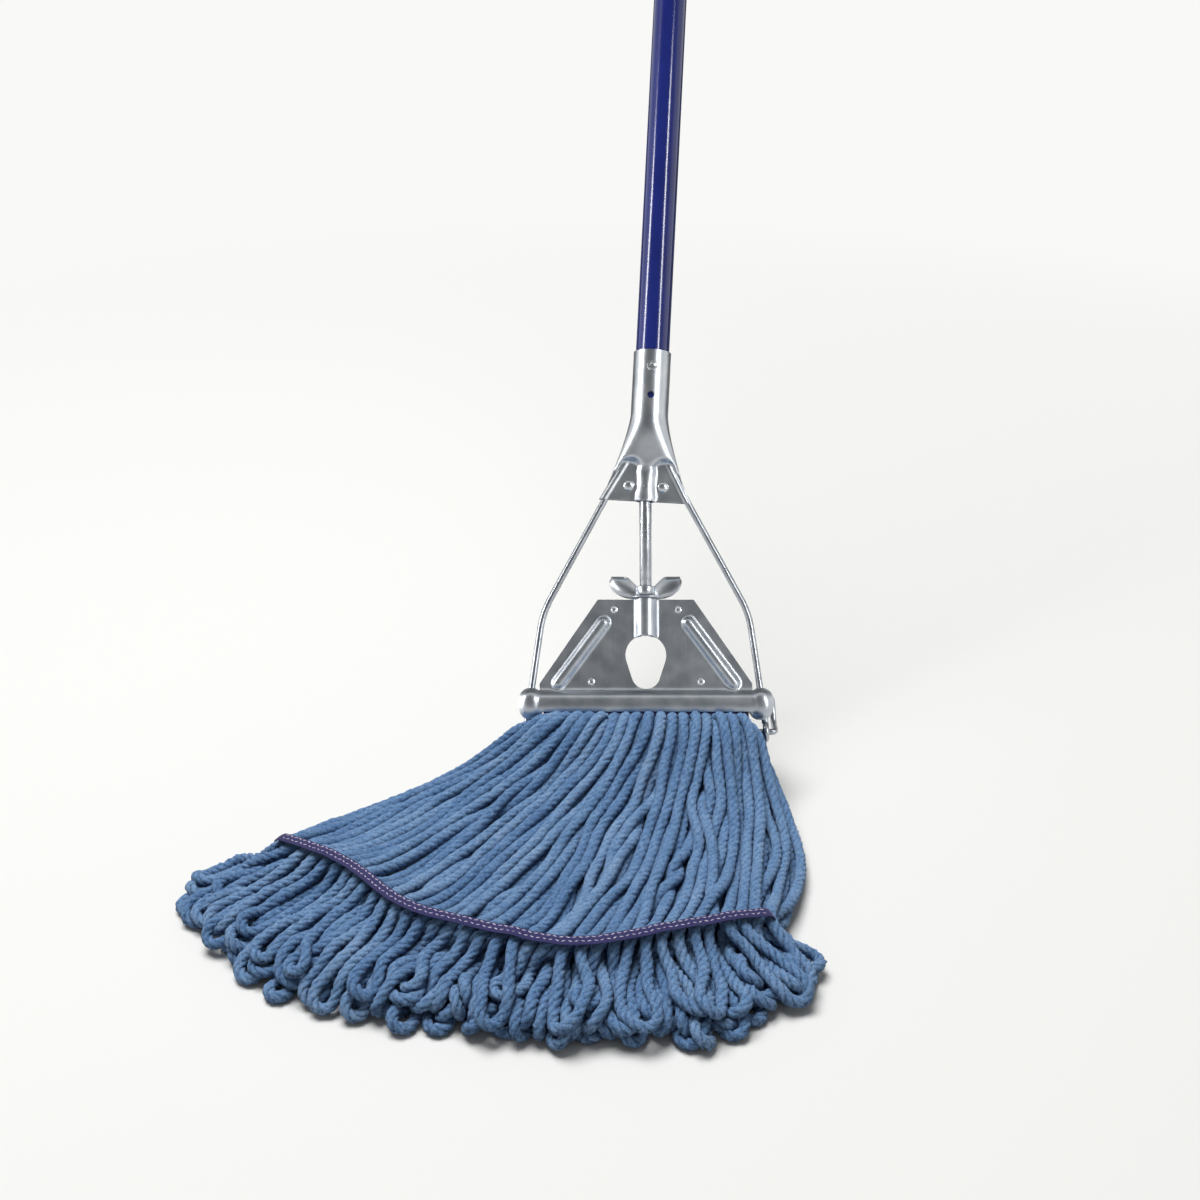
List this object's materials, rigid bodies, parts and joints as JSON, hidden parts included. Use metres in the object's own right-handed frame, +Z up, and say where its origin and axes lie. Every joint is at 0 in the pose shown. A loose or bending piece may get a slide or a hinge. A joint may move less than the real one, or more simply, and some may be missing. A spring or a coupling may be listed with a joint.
{
  "type": "string mop",
  "caption": "Looped-end blue string wet mop in a zinc-plated screw-down jaw head, on a blue coated steel handle.",
  "frame": {"origin": "on the floor, under the middle of the object's bounding box", "axes": "+Z up, +X along the jaw bar to the right as seen from the mop side, +Y from the mop towards the side the handle leans to"},
  "size_m": [0.408, 1.0956, 1.2597],
  "materials": {
    "handle_coating": "gloss blue plastic coating",
    "cap_plastic": "moulded plastic",
    "zinc_plate": "bright zinc-plated pressed steel",
    "zinc_wire": "bright zinc-plated drawn wire",
    "zinc_cast": "zinc-plated cast wing nut",
    "yarn": "blue four-ply cotton blend yarn",
    "band_tape": "navy woven tape with pink stitching"
  },
  "bodies": {
    "handle_and_mop": {"handle_tube": "handle_coating", "handle_end_cap": "cap_plastic", "socket": "zinc_plate", "socket_rivet": "zinc_wire", "fan_rivet_left": "zinc_wire", "fan_rivet_right": "zinc_wire", "rod": "zinc_wire", "rod_pin": "zinc_wire", "bail_leg_left": "zinc_wire", "bail_leg_right": "zinc_wire", "headband": "band_tape", "yarn_upper": "yarn", "yarn_lower": "yarn", "fringe_upper": "yarn", "fringe_lower": "yarn", "tail_band_upper": "band_tape", "tail_band_lower": "band_tape"},
    "jaw": {"jaw_front_plate": "zinc_plate", "jaw_rear_plate": "zinc_plate", "jaw_eyelet_1": "zinc_wire", "jaw_eyelet_2": "zinc_wire", "jaw_eyelet_3": "zinc_wire", "jaw_eyelet_4": "zinc_wire"},
    "wing_nut": {"wing_nut": "zinc_cast"},
    "gate": {"gate_wire": "zinc_wire"}
  },
  "joints": [
    {"name": "jaw_lift", "type": "slide", "parent": "handle_and_mop", "child": "jaw", "axis": [0, 0.5592, 0.829], "range_m": [0, 0.018]},
    {"name": "nut_turn", "type": "hinge", "parent": "jaw", "child": "wing_nut", "pos_m": [0.106, -0.21905, 0.12857], "axis": [0, 0.5592, 0.829], "range_deg": [0, 4320]},
    {"name": "gate_swing", "type": "hinge", "parent": "handle_and_mop", "child": "gate", "pos_m": [0.106, -0.27178, 0.05039], "axis": [-1, 0, 0], "range_deg": [0, 100]}
  ],
  "couplings": [
    {"joint": "nut_turn", "follows": "jaw_lift", "rad_per_m": 4188.8}
  ]
}
